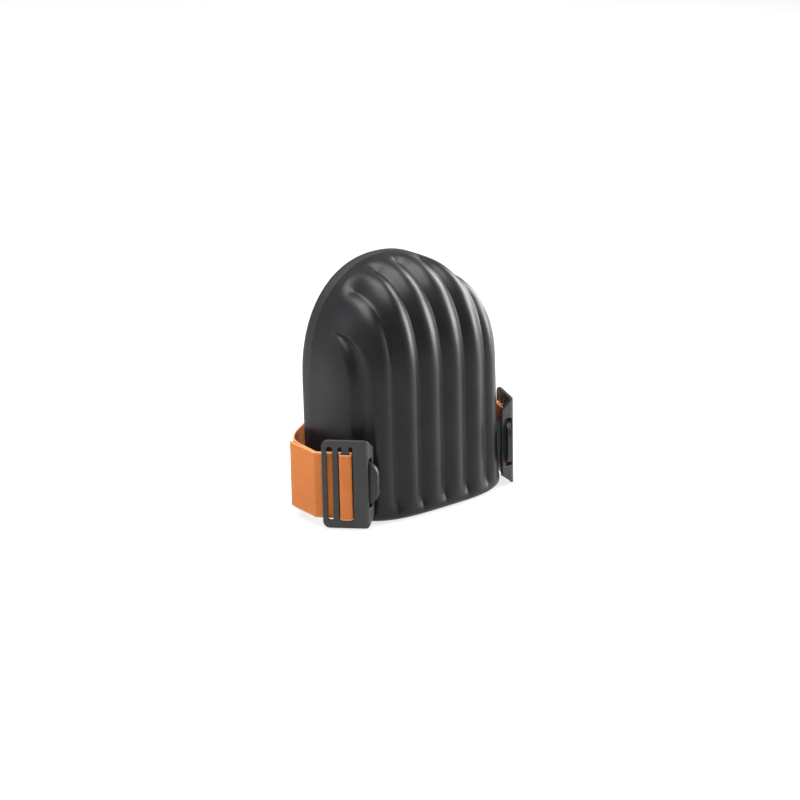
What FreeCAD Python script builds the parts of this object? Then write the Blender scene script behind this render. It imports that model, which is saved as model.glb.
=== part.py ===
import FreeCAD, Part
import math
import os

# Moulded knee pad with a ribbed front, hooked to an elastic leg strap by two slotted buckles.
# Frame: X across the knee, -Y the ribbed front, +Y the open knee side, +Z up. The pad stands on z = 0.
# All sizes are in millimetres.

# ---- outer pad ----
PAD_HALF_WIDTH = 70.0
PAD_DEPTH = 70.0
PAD_HEIGHT = 181.0
STRAIGHT_HEIGHT = 97.0
CORNER_POWER = 3.55
DOME_POWER_SIDE = 2.18
DOME_POWER_FRONT = 2.41
FLARE_WIDTH = 4.1
FLARE_DEPTH = 0.5
BASE_ROUND = 6.0
OUTER_WALL = 9.0

# ---- grooves between the ribs ----
GROOVE_COUNT = 7
GROOVE_PITCH = 20.9
GROOVE_FLOOR = 4.0
GROOVE_FLANK = 3.4
GROOVE_DRAW = 5.0
GROOVE_START = 10.0
GROOVE_END = 6.0

# ---- inner cushion and its rear rim ----
CUSHION_WALL = 11.0
GLUE_GAP = 0.3
RIM_DEPTH_TOP = 18.0
RIM_DEPTH_BASE = 7.0
RIM_FULL_HEIGHT = 95.0
RIM_POWER = 5.0

# ---- hook: seen from above, f runs out from the pad and q runs to the rear ----
HINGE_X = 61.8
HINGE_Y = -60.3
HOOK_ANGLE = -30.0
HOOK_HEIGHT = 32.0
TONGUE_THICK = 3.0
TONGUE_TIP = 7.2
NECK_LENGTH = 4.6
BAR_PLAY = 1.6
NECK_PLAY = 0.8
BASE_PLATE_THICK = 2.5
BASE_PLATE_SINK = 9.2
BASE_PLATE_FRONT = 5.0
BASE_PLATE_REAR = 14.0
BASE_PLATE_MARGIN = 6.0
MOULD_FIT = 0.1

# ---- buckle ----
BUCKLE_BOTTOM = 0.8
BUCKLE_HEIGHT = 67.0
BUCKLE_THICK = 2.6
BUCKLE_CORNER = 5.0
FLANGE_LENGTH = 10.0
FLANGE_CHAMFER = 7.5
FLANGE_END_BAR = 2.2
BEND_ANGLE = 105.0
WINDOW_PLAY = 2.8
WINDOW_OUT_PLAY = 1.7
SLOT_MARGIN_BASE = 6.0
SLOT_MARGIN_TOP = 5.0
FRONT_LAND = 9.6
SLOT_FRONT = 2.6
WRAP_BAR = 5.2
SLOT_WRAP = 2.6
MIDDLE_BAR = 4.2
SLOT_OPEN = 4.2
REAR_BAR = 3.6

# ---- strap ----
STRAP_WIDTH = 50.0
STRAP_THICK = 1.3
STRAP_PLAY = 0.3
STRAP_REST = 0.5
STRAP_OVERHANG = 4.0
SPLIT_GAP = 0.6
STRAP_RISE_START = 1.0
STRAP_RISE_TAIL = 7.0
STRAP_RISE_BACK = 12.0
BACK_STANDOFF = 10.0
SIDE_STANDOFF = 12.0
TAIL_REACH = 30.0
TAIL_LIFT = 2.0

# ---- rest swing of each buckle about its hook, turning the plate in towards the leg ----
SWING_LEFT = 0.0
SWING_RIGHT = 24.0

SECTION_POINTS = 22


def save(name, shape):
    """Check a sub-part and write it to its own file."""
    if not shape.isValid():
        raise ValueError(name + " is not a valid shape")
    shape.exportStep("parts/" + name + ".step")
    print(name, "solids", len(shape.Solids), "volume", round(shape.Volume, 1))


def dome_scale(z, inset, power):
    """Share of the full size that a horizontal section keeps at height z."""
    rise = (PAD_HEIGHT - inset) - STRAIGHT_HEIGHT
    t = min(max((z - STRAIGHT_HEIGHT) / rise, 0.0), 1.0)
    return (1.0 - t ** power) ** (1.0 / power)


def base_inset(z):
    """How far the rounded bottom edge draws the wall in at height z."""
    if z >= BASE_ROUND:
        return 0.0
    drop = BASE_ROUND - max(z, 0.0)
    return BASE_ROUND - math.sqrt(BASE_ROUND ** 2 - drop ** 2)


def half_width(z, inset):
    """Half the pad's width at height z, for a surface that lies inset from the outside."""
    flare = FLARE_WIDTH * max(1.0 - z / STRAIGHT_HEIGHT, 0.0)
    rounding = base_inset(z) if inset == 0.0 else 0.0
    return (PAD_HALF_WIDTH - inset + flare) * dome_scale(z, inset, DOME_POWER_SIDE) - rounding


def front_depth(z, inset):
    """The pad's depth in front of the seam at height z."""
    flare = FLARE_DEPTH * max(1.0 - z / STRAIGHT_HEIGHT, 0.0)
    rounding = base_inset(z) if inset == 0.0 else 0.0
    return (PAD_DEPTH - inset + flare) * dome_scale(z, inset, DOME_POWER_FRONT) - rounding


def rim_depth(z):
    """How far the cushion's rim stands behind the seam at height z."""
    share = min(max(z / RIM_FULL_HEIGHT, 0.0), 1.0)
    low = RIM_DEPTH_BASE + (RIM_DEPTH_TOP - RIM_DEPTH_BASE) * share
    return low * dome_scale(z, 0.0, DOME_POWER_FRONT)


def half_section(z, width, depth, power, start_y, straight):
    """A closed wire: a superellipse arc that starts at start_y, and a straight stretch the other way."""
    points = []
    for i in range(SECTION_POINTS + 1):
        angle = math.pi * (i / SECTION_POINTS - 0.5)
        x = width * math.copysign(abs(math.sin(angle)) ** (2.0 / power), math.sin(angle))
        y = start_y + depth * abs(math.cos(angle)) ** (2.0 / power)
        points.append(FreeCAD.Vector(x, y, z))
    points[0].y = start_y
    points[-1].y = start_y
    curve = Part.BSplineCurve()
    curve.interpolate(points)
    if straight == 0.0:
        return Part.Wire([curve.toShape(), Part.makeLine(points[-1], points[0])])
    back = start_y + straight
    corner_a = FreeCAD.Vector(points[-1].x, back, z)
    corner_b = FreeCAD.Vector(points[0].x, back, z)
    closing = Part.makePolygon([points[-1], corner_a, corner_b, points[0]])
    return Part.Wire([curve.toShape()] + closing.Edges)


def section_heights(low, top):
    """Heights of the loft's sections: even up the straight part, closer together over the dome."""
    heights = []
    if low < BASE_ROUND:
        heights += [low, low + 0.15 * BASE_ROUND, low + 0.45 * BASE_ROUND, BASE_ROUND]
    else:
        heights += [low]
    for share in (0.35, 0.7, 1.0):
        heights.append(STRAIGHT_HEIGHT * share)
    steps = 7
    for i in range(1, steps + 1):
        angle = 0.5 * math.pi * i / (steps + 0.35)
        heights.append(STRAIGHT_HEIGHT + (top - STRAIGHT_HEIGHT) * math.sin(angle))
    return heights


def front_dome(inset, low, straight):
    """The dome in front of the seam, inset by a wall, with straight sides carried on behind the seam."""
    wires = []
    for z in section_heights(low, PAD_HEIGHT - inset):
        width = half_width(z, inset)
        depth = front_depth(z, inset)
        wires.append(half_section(z, width, -depth, CORNER_POWER, 0.0, straight))
    return Part.makeLoft(wires, True, False)


def rim_dome():
    """The rounded rim behind the seam, from side to side and over the top."""
    wires = []
    for z in section_heights(0.0, PAD_HEIGHT):
        wires.append(half_section(z, half_width(z, 0.0), rim_depth(z), RIM_POWER, GLUE_GAP, 0.0))
    return Part.makeLoft(wires, True, False)


def groove_cutters(dome):
    """One upright channel for each groove, its floor a copy of the dome drawn back into the pad."""
    floor = dome.translated(FreeCAD.Vector(0.0, GROOVE_DRAW, 0.0))
    half_floor = 0.5 * GROOVE_FLOOR
    half_mouth = half_floor + GROOVE_FLANK
    reach = PAD_DEPTH + FLARE_DEPTH + 2.0
    cutters = []
    for i in range(GROOVE_COUNT):
        x = (i - 0.5 * (GROOVE_COUNT - 1)) * GROOVE_PITCH
        front = -front_depth(STRAIGHT_HEIGHT, 0.0)
        local = max(1.0 - (abs(x) / PAD_HALF_WIDTH) ** CORNER_POWER, 0.0) ** (1.0 / CORNER_POWER)
        mouth_y = front * local
        slope = GROOVE_FLANK / GROOVE_DRAW
        spread = half_mouth + slope * (reach + mouth_y)
        narrow = half_floor
        floor_y = mouth_y + GROOVE_DRAW
        outline = [
            (x - spread, -reach),
            (x - narrow, floor_y),
            (x - narrow, -GROOVE_END),
            (x + narrow, -GROOVE_END),
            (x + narrow, floor_y),
            (x + spread, -reach),
        ]
        ring = [FreeCAD.Vector(px, py, GROOVE_START) for px, py in outline]
        face = Part.Face(Part.makePolygon(ring + [ring[0]]))
        channel = face.extrude(FreeCAD.Vector(0.0, 0.0, PAD_HEIGHT))
        cutters.append(channel.cut(floor))
    return cutters


def local_box(f0, f1, q0, q1, z0, z1):
    """A box given by its limits in a hook's or buckle's own directions."""
    return Part.makeBox(f1 - f0, q1 - q0, z1 - z0, FreeCAD.Vector(f0, q0, z0))


def set_on_side(shape, swing, side):
    """Turn a shape about the hook's upright axis, carry it there and mirror it for the left side."""
    placed = shape.copy()
    placed.rotate(FreeCAD.Vector(0, 0, 0), FreeCAD.Vector(0, 0, 1), HOOK_ANGLE + swing)
    placed.translate(FreeCAD.Vector(HINGE_X, HINGE_Y, 0))
    if side == "left":
        placed = placed.mirror(FreeCAD.Vector(0, 0, 0), FreeCAD.Vector(1, 0, 0))
    return placed


HOOK_MIDDLE = BUCKLE_BOTTOM + 0.5 * BUCKLE_HEIGHT
NECK_START = 0.5 * BUCKLE_THICK + NECK_PLAY
TONGUE_INNER = 0.5 * FLANGE_END_BAR + BAR_PLAY


def hook(grow):
    """Tongue, neck and base plate of one hook; grow widens it all round to cut its seat."""
    half = 0.5 * HOOK_HEIGHT
    low = HOOK_MIDDLE - half - grow
    high = HOOK_MIDDLE + half + grow
    outer = TONGUE_INNER + TONGUE_THICK
    neck_end = NECK_START + NECK_LENGTH
    tongue = local_box(TONGUE_INNER - grow, outer + grow, -TONGUE_TIP, neck_end + grow, low, high)
    corners = []
    for edge in tongue.Edges:
        middle = edge.BoundBox.Center
        if abs(middle.y + TONGUE_TIP) < 0.01 and edge.BoundBox.XLength > 1.0:
            corners.append(edge)
    tongue = tongue.makeFillet(0.3 * HOOK_HEIGHT, corners)
    neck = local_box(-BASE_PLATE_SINK - grow, outer + grow, NECK_START - grow, neck_end + grow, low, high)
    plate_low = low - BASE_PLATE_MARGIN
    plate_high = high + BASE_PLATE_MARGIN
    back = -BASE_PLATE_SINK - BASE_PLATE_THICK - grow
    front = -BASE_PLATE_SINK + grow
    q0 = -BASE_PLATE_FRONT - grow
    q1 = BASE_PLATE_REAR + grow
    plate = local_box(back, front, q0, q1, plate_low, plate_high)
    return tongue.fuse([neck, plate]).removeSplitter()


def plate_point(s, w):
    """A point of the plate's own frame in the hook's frame: s runs rearward from the fold, w outward."""
    bend = math.radians(BEND_ANGLE - 90.0)
    f = FLANGE_LENGTH + s * math.sin(bend) + w * math.cos(bend)
    q = s * math.cos(bend) - w * math.sin(bend)
    return f, q


def plate_box(s0, s1, w0, w1, z0, z1):
    """A block given by its limits in the plate's own frame."""
    ring = []
    for s, w in ((s0, w0), (s1, w0), (s1, w1), (s0, w1)):
        f, q = plate_point(s, w)
        ring.append(FreeCAD.Vector(f, q, z0))
    face = Part.Face(Part.makePolygon(ring + [ring[0]]))
    return face.extrude(FreeCAD.Vector(0, 0, z1 - z0))


SLOT_FRONT_START = FRONT_LAND
WRAP_BAR_START = SLOT_FRONT_START + SLOT_FRONT
SLOT_WRAP_START = WRAP_BAR_START + WRAP_BAR
MIDDLE_BAR_START = SLOT_WRAP_START + SLOT_WRAP
SLOT_OPEN_START = MIDDLE_BAR_START + MIDDLE_BAR
REAR_BAR_START = SLOT_OPEN_START + SLOT_OPEN
PLATE_LENGTH = REAR_BAR_START + REAR_BAR
SLOT_LOW = BUCKLE_BOTTOM + SLOT_MARGIN_BASE
SLOT_HIGH = BUCKLE_BOTTOM + BUCKLE_HEIGHT - SLOT_MARGIN_TOP
STRAP_LOW = SLOT_LOW + STRAP_REST


def buckle():
    """One moulded buckle: a slotted plate and a windowed flange that reaches in to the hook."""
    low = BUCKLE_BOTTOM
    high = BUCKLE_BOTTOM + BUCKLE_HEIGHT
    plate = plate_box(0.0, PLATE_LENGTH, -BUCKLE_THICK, 0.0, low, high)
    rear_f, rear_q = plate_point(PLATE_LENGTH, -0.5 * BUCKLE_THICK)
    corners = []
    for edge in plate.Edges:
        middle = edge.BoundBox.Center
        if math.hypot(middle.x - rear_f, middle.y - rear_q) < 0.01 and edge.BoundBox.ZLength < 0.01:
            corners.append(edge)
    plate = plate.makeFillet(BUCKLE_CORNER, corners)
    for start, width in (
        (SLOT_FRONT_START, SLOT_FRONT),
        (SLOT_WRAP_START, SLOT_WRAP),
        (SLOT_OPEN_START, SLOT_OPEN),
    ):
        plate = plate.cut(plate_box(start, start + width, -2.0 * BUCKLE_THICK, BUCKLE_THICK, SLOT_LOW, SLOT_HIGH))
    end = -0.5 * FLANGE_END_BAR
    half = 0.5 * BUCKLE_THICK
    outline = [
        (FLANGE_LENGTH, low),
        (FLANGE_LENGTH, high),
        (end, high - FLANGE_CHAMFER),
        (end, low + FLANGE_CHAMFER),
    ]
    ring = [FreeCAD.Vector(f, -half, z) for f, z in outline]
    flange = Part.Face(Part.makePolygon(ring + [ring[0]])).extrude(FreeCAD.Vector(0, BUCKLE_THICK, 0))
    window_low = HOOK_MIDDLE - 0.5 * HOOK_HEIGHT - WINDOW_PLAY
    window_high = HOOK_MIDDLE + 0.5 * HOOK_HEIGHT + WINDOW_PLAY
    window_out = TONGUE_INNER + TONGUE_THICK + WINDOW_OUT_PLAY
    window = local_box(-end, window_out, -BUCKLE_THICK, BUCKLE_THICK, window_low, window_high)
    return plate.fuse(flange).cut(window).removeSplitter()


MAIN_OUT = -BUCKLE_THICK - 2.0 * STRAP_PLAY - STRAP_THICK
TAIL_OUT = -BUCKLE_THICK - STRAP_PLAY


def strap_wrap():
    """The strap through the front slot, round the wrap bar and back in through the next slot."""
    low = STRAP_LOW
    high = STRAP_LOW + STRAP_WIDTH
    front = SLOT_FRONT_START + 0.5 * (SLOT_FRONT - STRAP_THICK)
    rear = SLOT_WRAP_START + 0.5 * (SLOT_WRAP + STRAP_THICK)
    end = PLATE_LENGTH + STRAP_OVERHANG
    out = STRAP_PLAY + STRAP_THICK
    over = plate_box(front, rear, STRAP_PLAY, out, low, high)
    front_leg = plate_box(front, front + STRAP_THICK, MAIN_OUT - STRAP_THICK, out, low, high)
    rear_leg = plate_box(rear - STRAP_THICK, rear, TAIL_OUT - STRAP_THICK, out, low, high)
    main = plate_box(front, end, MAIN_OUT - STRAP_THICK, MAIN_OUT, low, high)
    tail = plate_box(rear - STRAP_THICK, end, TAIL_OUT - STRAP_THICK, TAIL_OUT, low, high)
    return over.fuse([front_leg, rear_leg, main, tail]).removeSplitter()


def world_point(s, w, swing, side):
    """A point of a buckle plate's own frame, seen from above in the pad's frame."""
    f, q = plate_point(s, w)
    turn = math.radians(HOOK_ANGLE + swing)
    x = HINGE_X + f * math.cos(turn) - q * math.sin(turn)
    y = HINGE_Y + f * math.sin(turn) + q * math.cos(turn)
    return (-x, y) if side == "left" else (x, y)


def strap_run(points, steps):
    """A ribbon of strap on edge along a smooth path; each point gives its lower edge."""
    curve = Part.BSplineCurve()
    curve.interpolate(points)
    first = curve.FirstParameter
    last = curve.LastParameter
    wires = []
    for i in range(steps + 1):
        t = first + (last - first) * i / steps
        out = outward(curve, t) * (0.5 * STRAP_THICK)
        a = curve.value(t) + out
        b = curve.value(t) - out
        up = FreeCAD.Vector(0.0, 0.0, STRAP_WIDTH)
        wires.append(Part.makePolygon([a, b, b + up, a + up, a]))
    return Part.makeLoft(wires, True, True)


def outward(curve, t):
    """Level unit direction out of the strap's loop, for a path that runs clockwise seen from above."""
    along = curve.tangent(t)[0]
    side = FreeCAD.Vector(-along.y, along.x, 0.0)
    side.normalize()
    return side


def strap_start(swing, side):
    """Where the main strap goes on from the stretch that turns with its buckle."""
    end = PLATE_LENGTH + STRAP_OVERHANG + SPLIT_GAP
    return world_point(end, MAIN_OUT - 0.5 * STRAP_THICK, swing, side)


def strap_path():
    """The main strap's lower edge, from the left buckle round behind the pad to the right one."""
    left = strap_start(SWING_LEFT, "left")
    right = strap_start(SWING_RIGHT, "right")
    start_low = STRAP_LOW + STRAP_RISE_START
    back_low = STRAP_LOW + STRAP_RISE_BACK
    tail_low = STRAP_LOW + STRAP_RISE_TAIL
    back_y = RIM_DEPTH_TOP + BACK_STANDOFF
    side_x = half_width(STRAP_LOW, 0.0) + SIDE_STANDOFF
    return [
        FreeCAD.Vector(left[0], left[1], start_low),
        FreeCAD.Vector(left[0] - 1.5, left[1] + 25.0, tail_low),
        FreeCAD.Vector(-side_x + 3.0, 0.3 * back_y, back_low),
        FreeCAD.Vector(-side_x + 26.0, back_y - 6.0, back_low),
        FreeCAD.Vector(0.0, back_y, back_low),
        FreeCAD.Vector(side_x - 30.0, back_y - 5.0, back_low),
        FreeCAD.Vector(side_x - 10.0, 0.3 * back_y, back_low),
        FreeCAD.Vector(right[0] + 1.0, right[1] + 18.0, tail_low),
        FreeCAD.Vector(right[0], right[1], start_low),
    ]


def strap_back():
    """The strap from one buckle round behind the pad to the other."""
    return strap_run(strap_path(), 72)


def strap_tail(side):
    """The strap's free end, which lies along the outside of the main strap and stands off at its tip."""
    curve = Part.BSplineCurve()
    curve.interpolate(strap_path())
    layer = STRAP_THICK + STRAP_PLAY
    points = []
    for i in range(6):
        share = i / 5.0
        from_start = TAIL_REACH * share
        length = from_start if side == "left" else curve.length() - from_start
        t = curve.parameterAtDistance(length, curve.FirstParameter)
        points.append(curve.value(t) + outward(curve, t) * (layer + TAIL_LIFT * share * share))
    return strap_run(points if side == "left" else points[::-1], 12)


def main():
    os.makedirs("parts", exist_ok=True)
    sides = (("left", SWING_LEFT), ("right", SWING_RIGHT))
    seats = [set_on_side(hook(MOULD_FIT), 0.0, side) for side, _ in sides]

    dome = front_dome(0.0, 0.0, 0.0)
    pad = dome.cut(front_dome(OUTER_WALL, -1.0, 1.0))
    for cutter in groove_cutters(dome):
        pad = pad.cut(cutter)
    for seat in seats:
        pad = pad.cut(seat)
    save("outer_pad", pad)

    cushion = front_dome(OUTER_WALL + GLUE_GAP, 0.0, 1.0).fuse(rim_dome())
    cushion = cushion.cut(front_dome(OUTER_WALL + CUSHION_WALL, -1.0, 2.0 * RIM_DEPTH_TOP))
    for seat in seats:
        cushion = cushion.cut(seat)
    save("inner_cushion", cushion.removeSplitter())

    for side, swing in sides:
        save("hook_" + side, set_on_side(hook(0.0), 0.0, side))
        save("buckle_" + side, set_on_side(buckle(), swing, side))
        save("strap_wrap_" + side, set_on_side(strap_wrap(), swing, side))
        save("strap_tail_" + side, strap_tail(side))
    save("strap_back", strap_back())


main()
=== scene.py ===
import math

import bmesh
import bpy
from mathutils import Matrix, Vector


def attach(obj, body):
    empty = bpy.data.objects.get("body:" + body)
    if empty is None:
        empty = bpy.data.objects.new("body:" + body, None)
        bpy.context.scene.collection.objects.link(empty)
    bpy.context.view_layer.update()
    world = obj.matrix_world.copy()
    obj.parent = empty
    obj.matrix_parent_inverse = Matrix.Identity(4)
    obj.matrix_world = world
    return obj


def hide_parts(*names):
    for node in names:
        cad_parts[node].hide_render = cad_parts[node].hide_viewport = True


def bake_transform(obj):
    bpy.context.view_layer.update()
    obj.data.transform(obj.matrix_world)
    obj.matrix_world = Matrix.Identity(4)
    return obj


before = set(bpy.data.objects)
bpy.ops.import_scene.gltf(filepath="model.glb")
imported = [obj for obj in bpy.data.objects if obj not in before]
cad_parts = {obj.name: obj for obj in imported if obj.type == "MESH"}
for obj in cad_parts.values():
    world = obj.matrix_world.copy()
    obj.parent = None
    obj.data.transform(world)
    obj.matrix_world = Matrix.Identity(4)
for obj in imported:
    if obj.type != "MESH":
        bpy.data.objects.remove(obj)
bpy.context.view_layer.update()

# ---- Camera, floor and light -------------------------------------------------------------------
# The pad stands on a plain pale floor that glows a little. A long lens looks at its ribbed front
# from the left and a little above. Soft panels light it from above, the right and the left rear.

look_at = Vector((0.0, -0.0276, 0.0921))
view_turn = math.radians(38.0)
view_rise = math.radians(18.285)
view_roll = math.radians(1.0)
view_distance = 1.884
towards_lens = Vector((
    -math.sin(view_turn) * math.cos(view_rise),
    -math.cos(view_turn) * math.cos(view_rise),
    math.sin(view_rise),
))
level_right = Vector((math.cos(view_turn), -math.sin(view_turn), 0.0))
level_up = towards_lens.cross(level_right)
lens_right = math.cos(view_roll) * level_right - math.sin(view_roll) * level_up
lens_up = math.cos(view_roll) * level_up + math.sin(view_roll) * level_right

camera_data = bpy.data.cameras.new("camera")
camera_data.sensor_width = 36.0
camera_data.lens = 115.2
camera_data.shift_x = -0.0118
camera_data.shift_y = -0.0300
camera = bpy.data.objects.new("camera", camera_data)
camera.matrix_world = Matrix.Translation(look_at + view_distance * towards_lens) @ Matrix(
    (lens_right, lens_up, towards_lens)).transposed().to_4x4()
bpy.context.scene.collection.objects.link(camera)
bpy.context.scene.camera = camera
bpy.context.scene.view_settings.view_transform = "Standard"

floor_reach = 6.0
floor_mesh = bpy.data.meshes.new("floor")
floor_corners = [(-1, -1), (1, -1), (1, 1), (-1, 1)]
floor_points = [(x * floor_reach, y * floor_reach, 0.0) for x, y in floor_corners]
floor_mesh.from_pydata(floor_points, [], [(0, 1, 2, 3)])
floor = bpy.data.objects.new("floor", floor_mesh)
bpy.context.scene.collection.objects.link(floor)
floor_paint = bpy.data.materials.new("floor_paint")
floor_paint.use_nodes = True
floor_shader = floor_paint.node_tree.nodes["Principled BSDF"]
floor_shader.inputs["Base Color"].default_value = (0.22, 0.22, 0.22, 1.0)
floor_shader.inputs["Roughness"].default_value = 0.9
floor_shader.inputs["Emission Color"].default_value = (1.0, 1.0, 1.0, 1.0)
floor_shader.inputs["Emission Strength"].default_value = 0.76
floor_mesh.materials.append(floor_paint)

world = bpy.data.worlds.new("studio")
world.use_nodes = True
world.node_tree.nodes["Background"].inputs["Color"].default_value = (1.0, 1.0, 1.0, 1.0)
world.node_tree.nodes["Background"].inputs["Strength"].default_value = 0.22
bpy.context.scene.world = world

for label, place, wide, tall, power, colour in (
    ("panel_above", (-0.5, 0.4, 2.6), 2.1, 2.1, 115.0, (0.97, 0.98, 1.0)),
    ("panel_right", (1.6, 0.3, 0.78), 0.7, 1.3, 34.0, (1.0, 0.99, 0.98)),
    ("panel_low", (1.1, -0.45, 0.40), 0.6, 0.7, 26.0, (1.0, 0.99, 0.98)),
    ("panel_left", (-1.3, 0.9, 0.7), 0.4, 0.9, 3.0, (0.90, 0.95, 1.0)),
):
    panel_data = bpy.data.lights.new(label, "AREA")
    panel_data.shape = "RECTANGLE"
    panel_data.size = wide
    panel_data.size_y = tall
    panel_data.energy = power
    panel_data.color = colour
    panel = bpy.data.objects.new(label, panel_data)
    panel.location = place
    panel.rotation_euler = (look_at - Vector(place)).to_track_quat("-Z", "Y").to_euler()
    bpy.context.scene.collection.objects.link(panel)

# ---- Outer pad ---------------------------------------------------------------------------------
# One moulding of firm black rubber foam: a half dome, open behind and below, with seven upright
# grooves that leave rounded ribs between them. The wall is glued to the lining at the seam.

class Wire:
    """One output in a node tree. A sum or product written with it adds the Math node it needs."""

    def __init__(self, tree, socket=None):
        self.tree = tree
        self.socket = socket

    def node(self, kind, settings=(), values=(), out=0):
        """Add a node: its settings first, then its sockets' values or links; return one output."""
        made = self.tree.nodes.new(kind)
        for name, value in dict(settings).items():
            setattr(made, name, value)
        for name, value in dict(values).items():
            if isinstance(value, Wire):
                self.tree.links.new(value.socket, made.inputs[name])
            else:
                made.inputs[name].default_value = value
        return Wire(self.tree, made.outputs[out])

    def other(self, name):
        """Another output of the node that this one comes from."""
        return Wire(self.tree, self.socket.node.outputs[name])

    def maths(self, operation, *others):
        return self.node("ShaderNodeMath", {"operation": operation}, enumerate((self, *others)))

    def ramp(self, low, high, to_low=0.0, to_high=1.0, kind="LINEAR"):
        """This value from low to high, turned into to_low to to_high and held at the ends."""
        values = {"Value": self, "From Min": low, "From Max": high, "To Min": to_low, "To Max": to_high}
        return self.node("ShaderNodeMapRange", {"interpolation_type": kind}, values)

    def blend(self, low, high):
        """Between two colours, with this value as the share of the second."""
        return self.node("ShaderNodeMix", {"data_type": "RGBA"}, {0: self, 6: low, 7: high}, 2)

    def together(self, other):
        """This shape and another one as one shape."""
        both = self.node("GeometryNodeJoinGeometry", (), {"Geometry": self})
        self.tree.links.new(other.socket, both.socket.node.inputs["Geometry"])
        return both

    def __add__(self, other):
        return self.maths("ADD", other)

    def __mul__(self, other):
        return self.maths("MULTIPLY", other)

    def __sub__(self, other):
        return self.maths("SUBTRACT", other)

    def __truediv__(self, other):
        return self.maths("DIVIDE", other)

    def __pow__(self, other):
        return self.maths("POWER", other)

    def __rsub__(self, other):
        return self.node("ShaderNodeMath", {"operation": "SUBTRACT"}, {0: other, 1: self})

    def __rtruediv__(self, other):
        return self.node("ShaderNodeMath", {"operation": "DIVIDE"}, {0: other, 1: self})

    __radd__ = __add__
    __rmul__ = __mul__


def new_material(name, **uniform):
    """A material whose shader holds the given uniform values; returns it, its shader and a wire."""
    material = bpy.data.materials.new(name)
    material.use_nodes = True
    shader = material.node_tree.nodes["Principled BSDF"]
    for label, value in uniform.items():
        shader.inputs[label.replace("_", " ")].default_value = value
    return material, shader, Wire(material.node_tree)


def plug(shader, label, wire):
    """Link a wire to one of the shader's sockets."""
    wire.tree.links.new(wire.socket, shader.inputs[label])


pad_sizes = {
    "Half Width": 0.070,
    "Depth": 0.070,
    "Height": 0.181,
    "Straight Height": 0.097,
    "Flare Width": 0.0041,
    "Flare Depth": 0.0005,
    "Base Round": 0.006,
    "Corner Power": 3.55,
    "Side Power": 2.18,
    "Front Power": 2.41,
}
wall_sizes = {
    "Wall": 0.009,
    "Groove Pitch": 0.0209,
    "Groove Depth": 0.0039,
    "Groove Softness": 0.14,
    "Outer Groove Depth": 0.0042,
    "Outer Groove Half Width": 0.0100,
    "Groove Foot": 0.003,
    "Groove Foot Full": 0.014,
    "Groove Tip": 0.006,
    "Groove Tip Full": 0.020,
    "Outer Groove Tip": 0.018,
    "Outer Groove Tip Full": 0.034,
}


def grown_mesh(name, sizes, material, grow, route=None):
    """A mesh object that a node tree grows from named sizes, and from a route of points if given."""
    tree = bpy.data.node_groups.new(name, "GeometryNodeTree")
    tree.interface.new_socket("Geometry", in_out="INPUT", socket_type="NodeSocketGeometry")
    tree.interface.new_socket("Geometry", in_out="OUTPUT", socket_type="NodeSocketGeometry")
    for label in sizes:
        tree.interface.new_socket(label, in_out="INPUT", socket_type="NodeSocketFloat")
    given = tree.nodes.new("NodeGroupInput")
    size = {label: Wire(tree, given.outputs[label]) for label in sizes}
    shape = grow(Wire(tree, given.outputs["Geometry"]), size)
    shape = shape.node("GeometryNodeRealizeInstances", (), {"Geometry": shape})
    shape = shape.node("GeometryNodeSetMaterial", (), {"Geometry": shape, "Material": material})
    result = tree.nodes.new("NodeGroupOutput")
    tree.links.new(shape.socket, result.inputs["Geometry"])

    host_mesh = bpy.data.meshes.new(name + "_route")
    points = route or [(0.0, 0.0, 0.0)]
    host_mesh.from_pydata(points, [(i, i + 1) for i in range(len(points) - 1)], [])
    host = bpy.data.objects.new(name + "_route", host_mesh)
    bpy.context.scene.collection.objects.link(host)
    modifier = host.modifiers.new(name, "NODES")
    modifier.node_group = tree
    for item in tree.interface.items_tree:
        if item.in_out == "INPUT" and item.name in sizes:
            modifier[item.identifier] = sizes[item.name]
    bpy.context.view_layer.update()
    evaluated = host.evaluated_get(bpy.context.evaluated_depsgraph_get())
    mesh = bpy.data.meshes.new_from_object(evaluated)
    mesh.name = name
    bpy.data.objects.remove(host)
    made = bpy.data.objects.new(name, mesh)
    bpy.context.scene.collection.objects.link(made)
    return made


def face_outwards(mesh):
    """Turn every face of a closed mesh outwards and shade it smooth."""
    work = bmesh.new()
    work.from_mesh(mesh)
    bmesh.ops.recalc_face_normals(work, faces=work.faces)
    work.to_mesh(mesh)
    work.free()
    mesh.shade_smooth()


def unit_block(wire, across, up, deep):
    """A closed block of small faces, and where each of its points lies, from 0 to 1 each way."""
    block = wire.node("GeometryNodeMeshCube", (), {
        "Size": (1.0, 1.0, 1.0), "Vertices X": across, "Vertices Y": up, "Vertices Z": deep})
    place = wire.node("ShaderNodeSeparateXYZ", (), {0: wire.node("GeometryNodeInputPosition")})
    return block, place + 0.5, place.other("Y") + 0.5, place.other("Z") + 0.5


def moved(block, x, y, z):
    """The block with each of its points taken to x, y, z, and its poles closed."""
    spot = block.node("ShaderNodeCombineXYZ", (), {"X": x, "Y": y, "Z": z})
    shape = block.node("GeometryNodeSetPosition", (), {"Geometry": block, "Position": spot})
    return shape.node("GeometryNodeMergeByDistance", (), {"Geometry": shape, "Distance": 0.00002})


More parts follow.
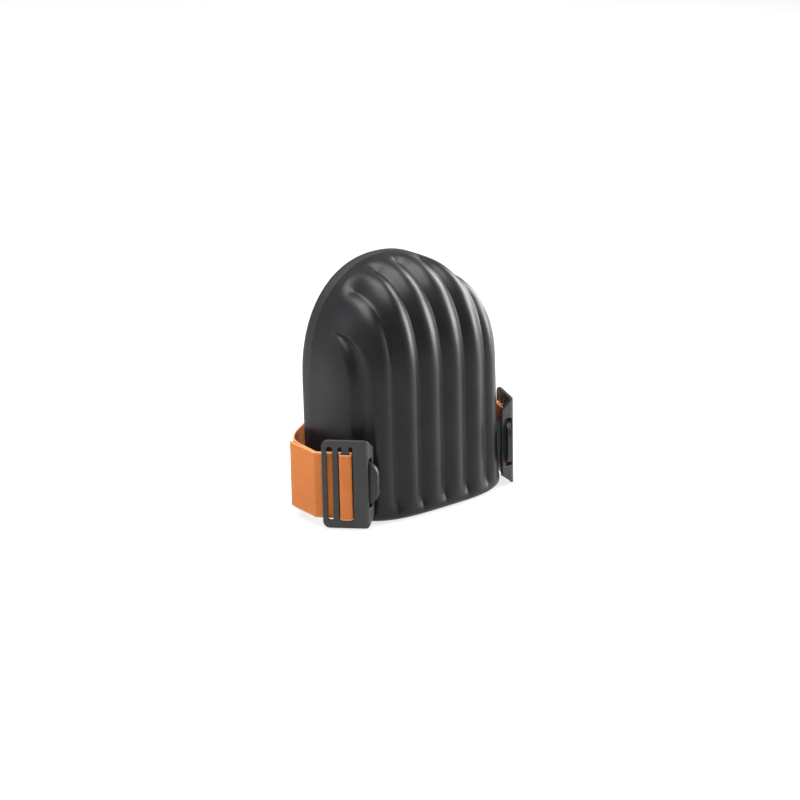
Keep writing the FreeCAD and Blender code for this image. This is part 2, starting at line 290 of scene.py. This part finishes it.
def dome_heights(rise_share, inset, size, base_share, straight_share):
    """Height, drawn-in base, and the shares of width and depth that are left at that height."""
    turn = rise_share.ramp(0.0, base_share) * (0.5 * math.pi)
    straight = rise_share.ramp(base_share, straight_share)
    over = rise_share.ramp(straight_share, 1.0) * (0.5 * math.pi)
    base = size["Base Round"]
    low = base * (1.0 - turn.maths("COSINE")) + (size["Straight Height"] - base) * straight
    drawn_in = base * (1.0 - turn.maths("SINE"))
    # The power opens the rows a little at the foot of the dome.
    share = over.maths("SINE") ** 0.87
    height = low + (size["Height"] - size["Straight Height"] - inset) * share
    side = (1.0 - share ** size["Side Power"]).maths("MAXIMUM", 0.0) ** (1.0 / size["Side Power"])
    front = (1.0 - share ** size["Front Power"]).maths("MAXIMUM", 0.0) ** (1.0 / size["Front Power"])
    flare = 1.0 - low / size["Straight Height"]
    return height, drawn_in, side, front, flare


def dome_section(around, inset, drawn_in, side, front, flare, size):
    """Across and fore-and-aft place on the dome's rounded section; around runs from 0 to 1."""
    turn = (around - 0.5) * math.pi
    sine = turn.maths("SINE")
    cosine = turn.maths("COSINE").maths("MAXIMUM", 0.0)
    power = size["Corner Power"]
    reach = (sine.maths("ABSOLUTE") ** power + cosine ** power) ** (-1.0 / power)
    width = (size["Half Width"] - inset + size["Flare Width"] * flare) * side - drawn_in
    depth = (size["Depth"] - inset + size["Flare Depth"] * flare) * front - drawn_in
    return width * reach * sine, depth * reach * cosine * -1.0


def grow_pad(start, size):
    block, around, rise, deep = unit_block(start, 361, 121, 4)
    inset = size["Wall"] * deep
    height, drawn_in, side, front, flare = dome_heights(rise, inset, size, 0.055, 0.2)
    skin = 1.0 - deep
    x, y = dome_section(around, inset, drawn_in * skin, side, front, flare, size)
    outwards = x.maths("ABSOLUTE")
    forward = y * -1.0
    above_base = height.ramp(size["Groove Foot"], size["Groove Foot Full"], kind="SMOOTHSTEP")
    from_base = above_base * (skin ** 4.0)
    from_seam = forward.ramp(size["Groove Tip"], size["Groove Tip Full"], kind="SMOOTHSTEP")
    ribbed = outwards.maths("LESS_THAN", size["Groove Pitch"] * 2.5)
    across_rib = (x * math.pi / size["Groove Pitch"]).maths("SINE")
    soft = size["Groove Softness"]
    crowned = ((across_rib ** 2.0 + soft * soft) ** 0.5 - soft) / ((1.0 + soft * soft) ** 0.5 - soft)
    middle_cut = (1.0 - crowned) * size["Groove Depth"] * ribbed * from_seam * from_base

    wide = (size["Half Width"] + size["Flare Width"] * flare) * side
    fore = (size["Depth"] + size["Flare Depth"] * flare) * front
    outer_line = size["Groove Pitch"] * 3.0
    share = (outer_line / wide).maths("MINIMUM", 1.0)
    beside = fore * (1.0 - share ** size["Corner Power"]) ** (1.0 / size["Corner Power"])
    away = ((outwards - outer_line) ** 2.0 + (y + beside).maths("ABSOLUTE") ** 2.0) ** 0.5
    hollow = away.ramp(0.0, size["Outer Groove Half Width"], 1.0, 0.0, "SMOOTHSTEP")
    reached = forward.ramp(size["Outer Groove Tip"], size["Outer Groove Tip Full"])
    outer_cut = hollow * size["Outer Groove Depth"] * reached * from_base

    # The outer grooves go in square to the corner. The others go straight back, and down on the dome.
    x = x - x.maths("SIGN") * outer_cut * 0.6
    over = (height - size["Straight Height"]).maths("MAXIMUM", 0.0)
    from_axis = (y * y + over * over) ** 0.5 + 0.0001
    height = height - middle_cut * over / from_axis
    y = y + middle_cut * y.maths("ABSOLUTE") / from_axis + outer_cut * 0.8
    return moved(block, x, y, height)


pad_rubber, pad_shader, wire = new_material("pad_rubber", IOR=1.34)
spot = wire.node("ShaderNodeTexCoord", out="Object")
cloudy = wire.node("ShaderNodeTexNoise", (), {"Vector": spot, "Scale": 28.0, "Detail": 3.0})
handled = wire.node("ShaderNodeTexNoise", (), {
    "Vector": spot, "Scale": 95.0, "Detail": 6.0, "Roughness": 0.7})
grain = wire.node("ShaderNodeTexNoise", (), {"Vector": spot, "Scale": 1500.0, "Detail": 2.0})
swell = wire.node("ShaderNodeTexNoise", (), {"Vector": spot, "Scale": 45.0, "Detail": 1.0})
plug(pad_shader, "Base Color", cloudy.ramp(0.35, 0.7).blend(
    (0.0105, 0.0106, 0.0112, 1.0), (0.0165, 0.0166, 0.0172, 1.0)))
plug(pad_shader, "Roughness", handled.ramp(0.3, 0.75, 0.32, 0.43) + grain.ramp(0.3, 0.7, -0.02, 0.03))
bump = wire.node("ShaderNodeBump", (), {
    "Strength": 0.25, "Distance": 0.0012, "Height": swell})
bump = wire.node("ShaderNodeBump", (), {
    "Strength": 0.22, "Distance": 0.00015, "Height": grain, "Normal": bump})
plug(pad_shader, "Normal", bump)

ribbed_pad = grown_mesh("ribbed_pad", {**pad_sizes, **wall_sizes}, pad_rubber, grow_pad)
face_outwards(ribbed_pad.data)
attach(ribbed_pad, "pad")
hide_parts("outer_pad")

# ---- Inner cushion -----------------------------------------------------------------------------
# A thick cup of softer closed-cell foam, glued into the outer pad, with a crowned rim that turns
# over the seam from one lower corner over the top to the other. The knee goes into the hollow.

cushion_sizes = {
    "Cup Inset": 0.0093,
    "Hollow Inset": 0.020,
    "Seam Gap": 0.0003,
    "Rim Depth Top": 0.018,
    "Rim Depth Base": 0.007,
    "Rim Full Height": 0.095,
    "Rim Power": 5.0,
    "Rim Edge Share": 0.02,
    "Lip Start": 0.70,
    "Lip Power": 2.4,
}


def grow_cushion(start, size):
    block, around, rise, deep = unit_block(start, 121, 81, 3)
    inset = size["Cup Inset"] + (size["Hollow Inset"] - size["Cup Inset"]) * deep
    height, _, side, front, flare = dome_heights(rise, inset, size, 0.05, 0.25)
    x, y = dome_section(around, inset, 0.0, side, front, flare, size)
    cup = moved(block, x, y, height)

    block, along, over, deep = unit_block(start, 321, 45, 7)
    side_of = (along - 0.5).maths("SIGN")
    rise = (1.0 - (along - 0.5).maths("ABSOLUTE") * 2.0).maths("MINIMUM", 1.0)
    rise = rise.maths("MAXIMUM", 0.0)
    # The power crowds the rows towards the outer edge, where the crown turns down fastest.
    over = over.maths("MAXIMUM", 0.0) ** 1.8
    inset = size["Hollow Inset"] * over
    height, drawn_in, side, _, flare = dome_heights(rise, inset, size, 0.05, 0.35)
    width = (size["Half Width"] - inset + size["Flare Width"] * flare) * side
    width = width - drawn_in * (1.0 - over)
    share = (height / size["Rim Full Height"]).maths("MINIMUM", 1.0)
    full = size["Rim Depth Base"] + (size["Rim Depth Top"] - size["Rim Depth Base"]) * share
    kept = (1.0 - inset / size["Half Width"]) ** size["Rim Power"]
    crown = (1.0 - kept).maths("MAXIMUM", 0.0) ** (1.0 / size["Rim Power"])
    turned_in = over.ramp(size["Lip Start"], 1.0) ** size["Lip Power"]
    lip = (1.0 - turned_in).maths("MAXIMUM", 0.0) ** (1.0 / size["Lip Power"])
    least = size["Rim Edge Share"]
    y = size["Seam Gap"] + full * deep * (crown * lip * (1.0 - least) + least)
    rim = moved(block, width * side_of, y, height)
    return cup.together(rim)


lining_foam, lining_shader, wire = new_material("lining_foam", IOR=1.45)
spot = wire.node("ShaderNodeTexCoord", out="Object")
cells = wire.node("ShaderNodeTexVoronoi", (), {"Vector": spot, "Scale": 900.0})
cloudy = wire.node("ShaderNodeTexNoise", (), {"Vector": spot, "Scale": 40.0, "Detail": 4.0})
plug(lining_shader, "Base Color", cloudy.ramp(0.3, 0.7).blend(
    (0.0150, 0.0152, 0.0160, 1.0), (0.0240, 0.0242, 0.0250, 1.0)))
plug(lining_shader, "Roughness", cloudy.ramp(0.3, 0.7, 0.42, 0.56))
bump = wire.node("ShaderNodeBump", (), {"Strength": 0.3, "Distance": 0.0002, "Height": cells})
plug(lining_shader, "Normal", bump)

cushion = grown_mesh("knee_cushion", {**pad_sizes, **cushion_sizes}, lining_foam, grow_cushion)
face_outwards(cushion.data)
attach(cushion, "pad")
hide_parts("inner_cushion")

# ---- Hooks -------------------------------------------------------------------------------------
# A D-shaped nylon tongue on each front corner, on a neck that is moulded into the pad's wall.
# It stands out through the window of a buckle, which turns on it. Every edge is eased.

hook_nylon, hook_shader, wire = new_material("hook_nylon", IOR=1.5)
spot = wire.node("ShaderNodeTexCoord", out="Object")
grain = wire.node("ShaderNodeTexNoise", (), {"Vector": spot, "Scale": 1800.0, "Detail": 2.0})
cloudy = wire.node("ShaderNodeTexNoise", (), {"Vector": spot, "Scale": 120.0, "Detail": 4.0})
plug(hook_shader, "Base Color", cloudy.ramp(0.3, 0.7).blend(
    (0.0200, 0.0202, 0.0208, 1.0), (0.0300, 0.0302, 0.0310, 1.0)))
plug(hook_shader, "Roughness", cloudy.ramp(0.3, 0.7, 0.40, 0.52))
bump = wire.node("ShaderNodeBump", (), {"Strength": 0.3, "Distance": 0.0001, "Height": grain})
plug(hook_shader, "Normal", bump)

for side in ("left", "right"):
    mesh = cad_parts["hook_" + side].data.copy()
    work = bmesh.new()
    work.from_mesh(mesh)
    bmesh.ops.remove_doubles(work, verts=work.verts, dist=0.00001)
    bmesh.ops.dissolve_limit(
        work, angle_limit=math.radians(1.0), verts=work.verts, edges=work.edges)
    bmesh.ops.recalc_face_normals(work, faces=work.faces)
    work.to_mesh(mesh)
    work.free()
    mesh.materials.clear()
    mesh.materials.append(hook_nylon)
    mesh.shade_smooth()
    rough_hook = bpy.data.objects.new("rough_hook", mesh)
    bpy.context.scene.collection.objects.link(rough_hook)
    ease = rough_hook.modifiers.new("ease", "BEVEL")
    ease.width = 0.0007
    ease.segments = 3
    ease.angle_limit = math.radians(40.0)
    ease.harden_normals = True
    bpy.context.view_layer.update()
    evaluated = rough_hook.evaluated_get(bpy.context.evaluated_depsgraph_get())
    tongue = bpy.data.objects.new("tongue_" + side, bpy.data.meshes.new_from_object(evaluated))
    bpy.data.objects.remove(rough_hook)
    bpy.context.scene.collection.objects.link(tongue)
    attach(tongue, "pad")
    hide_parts("hook_" + side)

# ---- Buckles -----------------------------------------------------------------------------------
# Each is one nylon moulding: a plate with three slots for the strap, folded to a short flange
# whose window hangs on the tongue. It is cut flat with rounded edges, then folded and hung.

hinge = (0.0618, -0.0603)
hook_turn = math.radians(-30.0)
swing = {"left": 0.0, "right": math.radians(24.0)}
buckle_low = 0.0008
buckle_high = 0.0678
plate_thick = 0.0026
flange_reach = 0.010
lean = math.radians(15.0)
fold_out = 0.008654
fold_turn = math.radians(75.0)
fold_radius = 0.0030
fold_half = fold_radius * math.tan(0.5 * fold_turn)
plate_end = 0.03235
flange_end = -0.009754
slots = ((0.0096, 0.0122), (0.0174, 0.0200), (0.0242, 0.0284))


def hang(side, out, back):
    """A point seen from above: out from the hook and back along the pad, at the buckle's rest."""
    turn = hook_turn + swing[side]
    x = hinge[0] + out * math.cos(turn) - back * math.sin(turn)
    y = hinge[1] + out * math.sin(turn) + back * math.cos(turn)
    return (-x, y) if side == "left" else (x, y)


def folded(along, off):
    """A point of the flat buckle after the fold: along it from the fold, and off its middle."""
    if along <= -fold_half:
        return fold_out + along, -off
    if along >= fold_half:
        out = fold_out + along * math.sin(lean) + off * math.cos(lean)
        return out, along * math.cos(lean) - off * math.sin(lean)
    turn = (along + fold_half) / (2.0 * fold_half) * fold_turn
    reach = fold_radius + off
    return fold_out - fold_half + reach * math.sin(turn), fold_radius - reach * math.cos(turn)


def rounded_loop(corners):
    """Points of a closed outline whose corners are rounded; each corner gives x, y and radius."""
    points = []
    for i, (x, y, radius) in enumerate(corners):
        here = Vector((x, y))
        before = Vector(corners[i - 1][:2])
        after = Vector(corners[(i + 1) % len(corners)][:2])
        to_before = (before - here).normalized()
        to_after = (after - here).normalized()
        half = 0.5 * to_before.angle(to_after)
        if radius == 0.0:
            points.append(here)
            continue
        reach = radius / math.tan(half)
        middle = here + (to_before + to_after).normalized() * (radius / math.sin(half))
        first = here + to_before * reach - middle
        last = here + to_after * reach - middle
        sweep = first.angle_signed(last)
        for step in range(7):
            turned = first.copy()
            turned.rotate(Matrix.Rotation(-sweep * step / 6.0, 2))
            points.append(middle + turned)
    return points


def flat_moulding(name, outlines, thick, ease):
    """A flat plate with holes and rounded edges, from its outline and the outlines of its holes."""
    drawn = bpy.data.curves.new(name, "CURVE")
    drawn.dimensions = "2D"
    drawn.fill_mode = "BOTH"
    drawn.extrude = 0.5 * thick - ease
    drawn.bevel_depth = ease
    drawn.bevel_resolution = 2
    drawn.offset = -ease
    for points in outlines:
        line = drawn.splines.new("POLY")
        line.points.add(len(points) - 1)
        for place, point in zip(line.points, points):
            place.co = (point.x, point.y, 0.0, 1.0)
        line.use_cyclic_u = True
    shown = bpy.data.objects.new(name, drawn)
    bpy.context.scene.collection.objects.link(shown)
    bpy.context.view_layer.update()
    evaluated = shown.evaluated_get(bpy.context.evaluated_depsgraph_get())
    mesh = bpy.data.meshes.new_from_object(evaluated)
    bpy.data.objects.remove(shown)
    return mesh


buckle_nylon, buckle_shader, wire = new_material("buckle_nylon", IOR=1.5)
spot = wire.node("ShaderNodeTexCoord", out="Object")
grain = wire.node("ShaderNodeTexNoise", (), {"Vector": spot, "Scale": 2200.0, "Detail": 2.0})
cloudy = wire.node("ShaderNodeTexNoise", (), {"Vector": spot, "Scale": 150.0, "Detail": 4.0})
plug(buckle_shader, "Base Color", cloudy.ramp(0.3, 0.7).blend(
    (0.0260, 0.0262, 0.0272, 1.0), (0.0380, 0.0382, 0.0395, 1.0)))
plug(buckle_shader, "Roughness", cloudy.ramp(0.3, 0.7, 0.42, 0.55))
bump = wire.node("ShaderNodeBump", (), {"Strength": 0.3, "Distance": 0.0001, "Height": grain})
plug(buckle_shader, "Normal", bump)

chamfer = 0.0075
window_low = 0.0155
window_high = 0.0531
window_start = -0.00755
window_end = -0.00125
window_corner = 0.0012
slot_low = 0.0068
slot_high = 0.0628
slot_shift = 0.00035
rim_round = 0.0050
outline = [
    (flange_end, buckle_low + chamfer, 0.0012),
    (0.0, buckle_low, 0.0015),
    (plate_end, buckle_low, rim_round),
    (plate_end, buckle_high, rim_round),
    (0.0, buckle_high, 0.0015),
    (flange_end, buckle_high - chamfer, 0.0012),
]
holes = [[
    (window_start, window_low, window_corner),
    (window_end, window_low, window_corner),
    (window_end, window_high, window_corner),
    (window_start, window_high, window_corner),
]]
for start, end in slots:
    first = start + slot_shift
    last = end + slot_shift
    curl = 0.45 * (last - first)
    holes.append([
        (first, slot_low, curl),
        (last, slot_low, curl),
        (last, slot_high, curl),
        (first, slot_high, curl),
    ])

for side in ("left", "right"):
    loops = [rounded_loop(outline)] + [rounded_loop(hole) for hole in holes]
    mesh = flat_moulding("buckle_" + side, loops, plate_thick, 0.0005)
    work = bmesh.new()
    work.from_mesh(mesh)
    bmesh.ops.remove_doubles(work, verts=work.verts, dist=0.000002)
    for step in range(9):
        cut = fold_half * (step / 4.0 - 1.0)
        whole = work.verts[:] + work.edges[:] + work.faces[:]
        bmesh.ops.bisect_plane(work, geom=whole, plane_co=(cut, 0, 0), plane_no=(1, 0, 0))
    for vertex in work.verts:
        along, up, off = vertex.co
        out, back = folded(along, off)
        x, y = hang(side, out, back)
        vertex.co = (x, y, up)
    bmesh.ops.recalc_face_normals(work, faces=work.faces)
    if work.calc_volume(signed=True) < 0.0:
        bmesh.ops.reverse_faces(work, faces=work.faces)
    work.to_mesh(mesh)
    work.free()
    mesh.materials.clear()
    mesh.materials.append(buckle_nylon)
    mesh.shade_smooth()
    mesh.set_sharp_from_angle(angle=math.radians(50.0))
    rough_buckle = bpy.data.objects.new("rough_buckle", mesh)
    bpy.context.scene.collection.objects.link(rough_buckle)
    even = rough_buckle.modifiers.new("even", "WEIGHTED_NORMAL")
    even.keep_sharp = True
    bpy.context.view_layer.update()
    evaluated = rough_buckle.evaluated_get(bpy.context.evaluated_depsgraph_get())
    plate = bpy.data.objects.new("slotted_buckle_" + side, bpy.data.meshes.new_from_object(evaluated))
    bpy.data.objects.remove(rough_buckle)
    bpy.context.scene.collection.objects.link(plate)
    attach(plate, side + "_buckle")
    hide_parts("buckle_" + side)

# ---- Strap -------------------------------------------------------------------------------------
# Orange elastic webbing, 50 mm wide, woven with fine cords along it and pale selvedges. The dips
# between the cords are painted darker as shade, and the pale selvedges also carry a painted
# highlight along the edges. From behind the pad it goes in through each buckle's front slot, over
# the bar and back to a cut end.

strap_sizes = {
    "Width": 0.050,
    "Thick": 0.0013,
    "Bend": 0.0013,
    "Step": 0.0006,
    "Edge Share": 0.42,
}
main_layer = -0.00515
tail_layer = -0.00355
over_bar = 0.00095
front_leg = 0.0109
rear_leg = 0.0187
split = 0.0366
layers_end = 0.0330
blend_end = 0.0340
run_steps = 12
strap_middle = 0.0323
layer_step = 0.0016
tail_reach = 0.030
tail_lift = 0.002


def smooth_run(points, steps):
    """Points along a smooth line through the given ones, with each stretch cut into steps."""
    ends = [points[0] * 2.0 - points[1]] + points + [points[-1] * 2.0 - points[-2]]
    run = []
    for a, b, c, d in zip(ends, ends[1:], ends[2:], ends[3:]):
        for step in range(steps):
            t = step / steps
            run.append(0.5 * (
                2.0 * b + (c - a) * t + (2.0 * a - 5.0 * b + 4.0 * c - d) * t ** 2
                + (3.0 * b - a - 3.0 * c + d) * t ** 3))
    return run + [points[-1]]


def at_plate(side, along, off, height):
    """A point of the strap beside its buckle: along the plate from the fold, off its outer face."""
    out = flange_reach + along * math.sin(lean) + off * math.cos(lean)
    back = along * math.cos(lean) - off * math.sin(lean)
    return Vector((*hang(side, out, back), height))


def grow_strap(start, size):
    path = start.node("GeometryNodeMeshToCurve", (), {"Mesh": start})
    path = start.node("GeometryNodeFilletCurve", {"mode": "POLY"}, {
        "Curve": path, "Count": 4, "Radius": size["Bend"], "Limit Radius": True})
    path = start.node("GeometryNodeResampleCurve", {"mode": "LENGTH"}, {
        "Curve": path, "Length": size["Step"]})
    path = start.node("GeometryNodeSetCurveNormal", {"mode": "Z_UP"}, {"Curve": path})
    along = start.node("GeometryNodeSplineParameter", out="Length")
    whole = start.node("GeometryNodeSplineLength", out="Length")
    path = start.node("GeometryNodeStoreNamedAttribute", {"data_type": "FLOAT"}, {
        "Geometry": path, "Name": "from_tip", "Value": whole - along})
    edge = start.node("GeometryNodeCurvePrimitiveQuadrilateral", (), {
        "Width": size["Thick"], "Height": size["Width"]})
    edge = start.node("GeometryNodeFilletCurve", {"mode": "POLY"}, {
        "Curve": edge, "Count": 3, "Radius": size["Thick"] * size["Edge Share"]})
    place = start.node("ShaderNodeSeparateXYZ", (), {0: start.node("GeometryNodeInputPosition")}, "Y")
    edge = start.node("GeometryNodeStoreNamedAttribute", {"data_type": "FLOAT"}, {
        "Geometry": edge, "Name": "across", "Value": place})
    return start.node("GeometryNodeCurveToMesh", (), {
        "Curve": path, "Profile Curve": edge, "Fill Caps": True})


strap_webbing, strap_shader, wire = new_material("strap_webbing", Roughness=0.8, IOR=1.45)
across = wire.node("ShaderNodeAttribute", {"attribute_name": "across"}, out="Fac")
from_tip = wire.node("ShaderNodeAttribute", {"attribute_name": "from_tip"}, out="Fac")
cord_pitch = 0.0011
pick_pitch = 0.0009
cords = (across * (math.pi / cord_pitch)).maths("SINE").maths("ABSOLUTE")
shifted = (across / cord_pitch).maths("FLOOR") * 0.5
picks = ((from_tip / pick_pitch + shifted) * math.pi).maths("SINE").maths("ABSOLUTE")
weave = cords * 0.55 + picks * 0.45
selvedge_and_highlight = across.maths("ABSOLUTE").ramp(0.0238, 0.0246, kind="SMOOTHSTEP")
spot = wire.node("ShaderNodeTexCoord", out="Object")
fuzz = wire.node("ShaderNodeTexNoise", (), {"Vector": spot, "Scale": 900.0, "Detail": 4.0})
worn = wire.node("ShaderNodeTexNoise", (), {"Vector": spot, "Scale": 60.0, "Detail": 4.0})
# The weave's dips between cords and picks take the darker colour: painted shade between the cords.
body = weave.blend((0.46, 0.115, 0.018, 1.0), (0.80, 0.245, 0.052, 1.0))
body = worn.ramp(0.3, 0.7, 0.0, 0.25).blend(body, (0.86, 0.30, 0.085, 1.0))
# Pale band along both edges: the selvedge's own colour, and also a painted highlight along the edges.
body = (selvedge_and_highlight * 0.6).blend(body, (0.88, 0.45, 0.22, 1.0))
sealed = from_tip.ramp(0.0012, 0.0004, kind="SMOOTHSTEP")
body = (sealed * 0.7).blend(body, (0.25, 0.06, 0.012, 1.0))
plug(strap_shader, "Base Color", body)
plug(strap_shader, "Roughness", fuzz.ramp(0.3, 0.7, 0.7, 0.9))
bump = wire.node("ShaderNodeBump", (), {
    "Strength": 0.6, "Distance": 0.00025, "Height": weave * (1.0 - selvedge_and_highlight) + fuzz * 0.3})
plug(strap_shader, "Normal", bump)

routes = {
    "left": [
        Vector((0.0, 0.0280, 0.0400)),
        Vector((-0.0120, 0.0280, 0.0400)),
        Vector((-0.0380, 0.0262, 0.0380)),
        Vector((-0.0655, 0.0165, 0.0335)),
        Vector((-0.0815, 0.0055, 0.0325)),
        Vector((-0.0900, -0.0080, strap_middle)),
    ],
    "right": [
        Vector((0.0, 0.0280, 0.0400)),
        Vector((0.0120, 0.0280, 0.0400)),
        Vector((0.0360, 0.0265, 0.0380)),
        Vector((0.0600, 0.0185, 0.0335)),
        Vector((0.0735, 0.0075, 0.0325)),
        Vector((0.0790, -0.0060, strap_middle)),
    ],
}
for side in ("left", "right"):
    towards = smooth_run(routes[side] + [at_plate(side, split, main_layer, strap_middle)], run_steps)
    wraps = [
        at_plate(side, layers_end, main_layer, strap_middle),
        at_plate(side, front_leg, main_layer, strap_middle),
        at_plate(side, front_leg, over_bar, strap_middle),
        at_plate(side, rear_leg, over_bar, strap_middle),
        at_plate(side, rear_leg, tail_layer, strap_middle),
        at_plate(side, layers_end, tail_layer, strap_middle),
    ]
    tail = []
    gone = 0.0
    outside = -1.0 if side == "left" else 1.0
    for here, ahead in zip(towards[::-1], towards[-2::-1]):
        line = (ahead - here).normalized()
        off = Vector((line.y, -line.x, 0.0)) * outside
        share = gone / tail_reach
        if share <= 1.0:
            tail.append(here + off * (layer_step + tail_lift * share * share))
        gone += (ahead - here).length
    strap = grown_mesh(
        "strap_" + side, strap_sizes, strap_webbing, grow_strap,
        [tuple(point) for point in towards + wraps + tail])
    face_outwards(strap.data)
    strap.data.set_sharp_from_angle(angle=math.radians(60.0))
    tuple(at_plate(side, blend_end, main_layer, strap_middle))
    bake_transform(strap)
    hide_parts("strap_wrap_" + side, "strap_tail_" + side, "strap_back")
